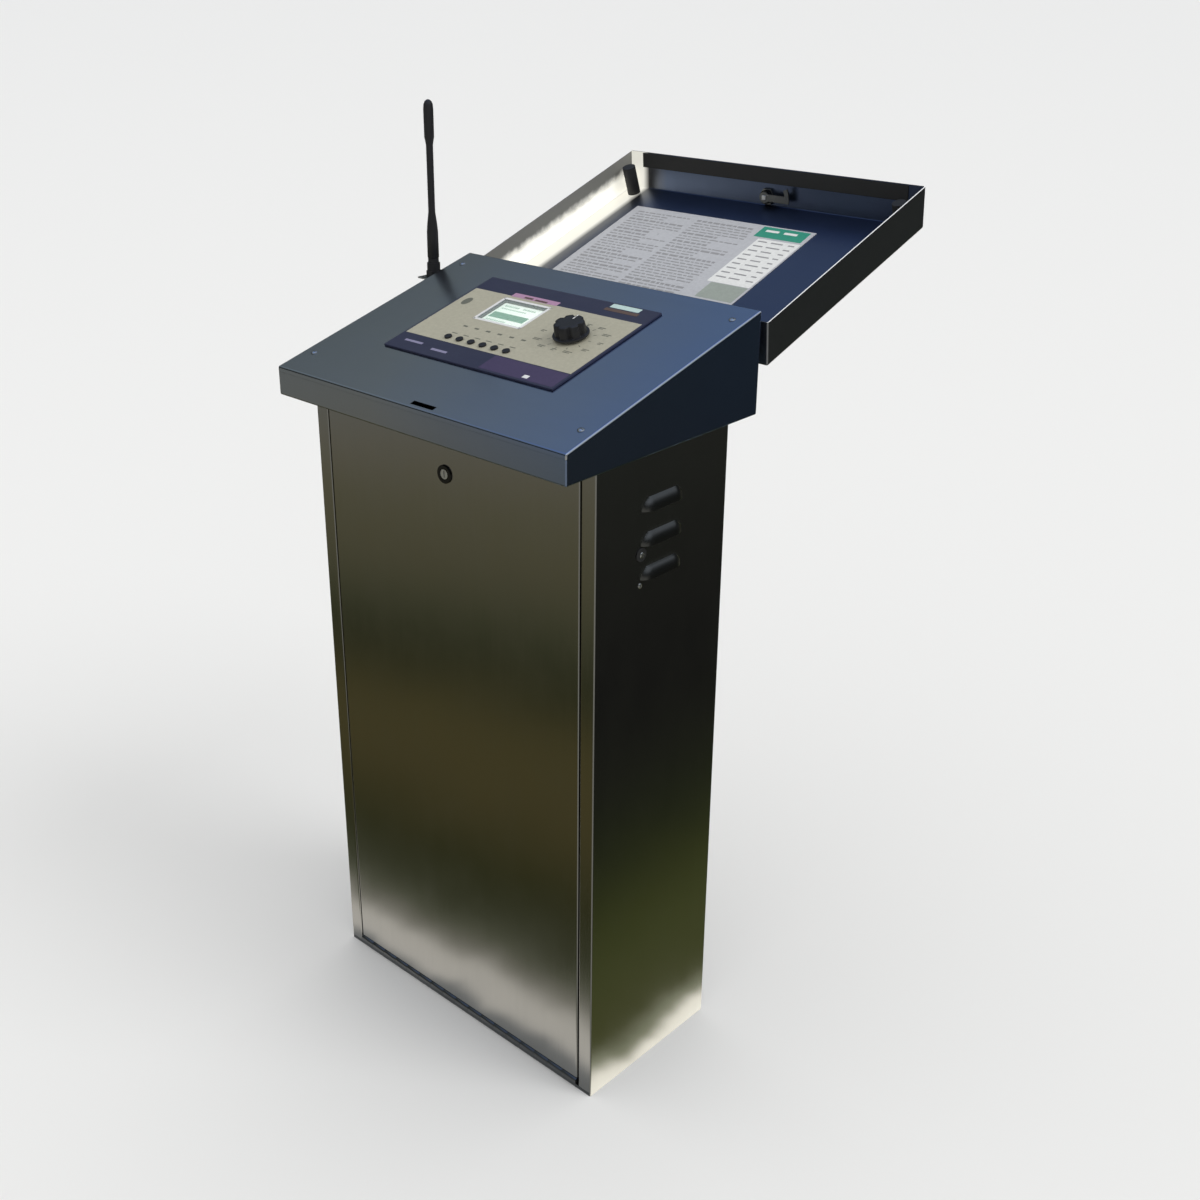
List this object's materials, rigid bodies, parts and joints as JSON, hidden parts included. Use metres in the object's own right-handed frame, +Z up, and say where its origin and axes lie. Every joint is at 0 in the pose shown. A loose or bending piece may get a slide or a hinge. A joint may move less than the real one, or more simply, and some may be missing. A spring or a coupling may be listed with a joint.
{
  "type": "control pedestal",
  "caption": "Free-standing brushed steel control pedestal with a drop-down door, a sloped console with dial, buttons and display, a flip-over lid and a whip antenna.",
  "frame": {"origin": "on the floor at the centre of the four anchor holes, which is the centre of the cabinet's footprint", "axes": "+Z up, the front with the door and the low edge of the console faces -Y, +X is to the right of a person looking at the front turned about, that is along the console's width"},
  "size_m": [0.513, 0.6508, 1.1356],
  "materials": {
    "stainless_cabinet": "vertical brushed stainless steel",
    "stainless_head": "brushed stainless steel",
    "stainless_lid": "brushed stainless steel",
    "stainless_hardware": "plain stainless steel",
    "lock_chrome": "chromed lock",
    "black_rubber": "black rubber",
    "black_plastic": "moulded black plastic",
    "fascia_overlay": "printed overlay with dark bands",
    "display_glass": "clear display window",
    "display_panel": "lit liquid crystal panel",
    "placard_sheet": "laminated instruction sheet",
    "circuit_board": "green circuit board",
    "backboard_enamel": "white enamelled plate",
    "transformer_iron": "varnished laminations",
    "terminal_plastic": "green terminal blocks",
    "battery_case": "battery case",
    "bar_brass": "brass"
  },
  "bodies": {
    "cabinet": {"base_plate": "stainless_cabinet", "left_side_panel": "stainless_cabinet", "right_side_panel": "stainless_cabinet", "back_panel": "stainless_cabinet", "door_header": "stainless_cabinet", "frame_hinge_leaf": "stainless_hardware", "door_hinge_pin": "stainless_hardware", "head_shell": "stainless_head", "console_plate": "stainless_head", "console_screws": "stainless_hardware", "head_hinge_leaf": "stainless_hardware", "lid_hinge_pin": "stainless_hardware", "lid_stops": "black_rubber", "vent_screens": "stainless_hardware", "side_plug": "black_rubber", "side_screws": "stainless_hardware", "backboard": "backboard_enamel", "backboard_spacers": "stainless_hardware", "transformer": "transformer_iron", "terminal_strips": "terminal_plastic", "battery": "battery_case", "ground_bar": "bar_brass", "radio_modem": "black_plastic", "antenna_bracket": "stainless_hardware", "bracket_screws": "stainless_hardware", "antenna_feed": "black_plastic", "antenna_base": "black_plastic", "antenna_whip": "black_plastic", "control_fascia": "fascia_overlay", "lcd_window": "display_glass", "lcd_module": "display_panel", "main_board": "circuit_board", "key_switches": "black_plastic", "dial_switch": "black_plastic", "controller_case": "black_plastic", "case_screws": "stainless_hardware"},
    "door": {"door_panel": "stainless_cabinet", "door_hinge_leaf": "stainless_hardware", "door_lock_barrel": "lock_chrome", "door_lock_nut": "stainless_hardware"},
    "door_lock": {"door_lock_plug": "lock_chrome", "door_lock_cam": "stainless_hardware"},
    "lid": {"lid_shell": "stainless_lid", "lid_hinge_leaf": "stainless_hardware", "lid_placard": "placard_sheet", "lid_seal": "black_rubber", "lid_bumpers": "black_rubber", "lid_lock_barrel": "lock_chrome", "lid_lock_nut": "stainless_hardware"},
    "lid_lock": {"lid_lock_plug": "lock_chrome", "lid_lock_hook": "stainless_hardware"},
    "dial": {"dial_knob": "black_plastic", "dial_shaft": "stainless_hardware"},
    "button_1": {"button_1": "black_plastic"},
    "button_2": {"button_2": "black_plastic"},
    "button_3": {"button_3": "black_plastic"},
    "button_4": {"button_4": "black_plastic"},
    "button_5": {"button_5": "black_plastic"},
    "button_6": {"button_6": "black_plastic"}
  },
  "joints": [
    {"name": "door_hinge", "type": "hinge", "parent": "cabinet", "child": "door", "pos_m": [0, -0.1095, 0.0105], "axis": [1, 0, 0], "range_deg": [0, 90]},
    {"name": "door_lock_turn", "type": "hinge", "parent": "door", "child": "door_lock", "pos_m": [0, -0.111, 0.765], "axis": [0, -1, 0], "range_deg": [0, 90]},
    {"name": "lid_hinge", "type": "hinge", "parent": "cabinet", "child": "lid", "pos_m": [0, 0.1636, 0.93103], "axis": [1, 0, 0], "range_deg": [0, 176]},
    {"name": "lid_lock_turn", "type": "hinge", "parent": "lid", "child": "lid_lock", "pos_m": [0.003, 0.48708, 0.99853], "axis": [0, -0.9976, -0.0698], "range_deg": [0, 90]},
    {"name": "dial_turn", "type": "hinge", "parent": "cabinet", "child": "dial", "pos_m": [0.07, 0.02542, 0.90695], "axis": [0, -0.2588, 0.9659], "continuous": true},
    {"name": "button_1_press", "type": "slide", "parent": "cabinet", "child": "button_1", "axis": [0, 0.2588, -0.9659], "range_m": [0, 0.0012], "stiffness_N_per_m": 400},
    {"name": "button_2_press", "type": "slide", "parent": "cabinet", "child": "button_2", "axis": [0, 0.2588, -0.9659], "range_m": [0, 0.0012], "stiffness_N_per_m": 400},
    {"name": "button_3_press", "type": "slide", "parent": "cabinet", "child": "button_3", "axis": [0, 0.2588, -0.9659], "range_m": [0, 0.0012], "stiffness_N_per_m": 400},
    {"name": "button_4_press", "type": "slide", "parent": "cabinet", "child": "button_4", "axis": [0, 0.2588, -0.9659], "range_m": [0, 0.0012], "stiffness_N_per_m": 400},
    {"name": "button_5_press", "type": "slide", "parent": "cabinet", "child": "button_5", "axis": [0, 0.2588, -0.9659], "range_m": [0, 0.0012], "stiffness_N_per_m": 400},
    {"name": "button_6_press", "type": "slide", "parent": "cabinet", "child": "button_6", "axis": [0, 0.2588, -0.9659], "range_m": [0, 0.0012], "stiffness_N_per_m": 400}
  ]
}
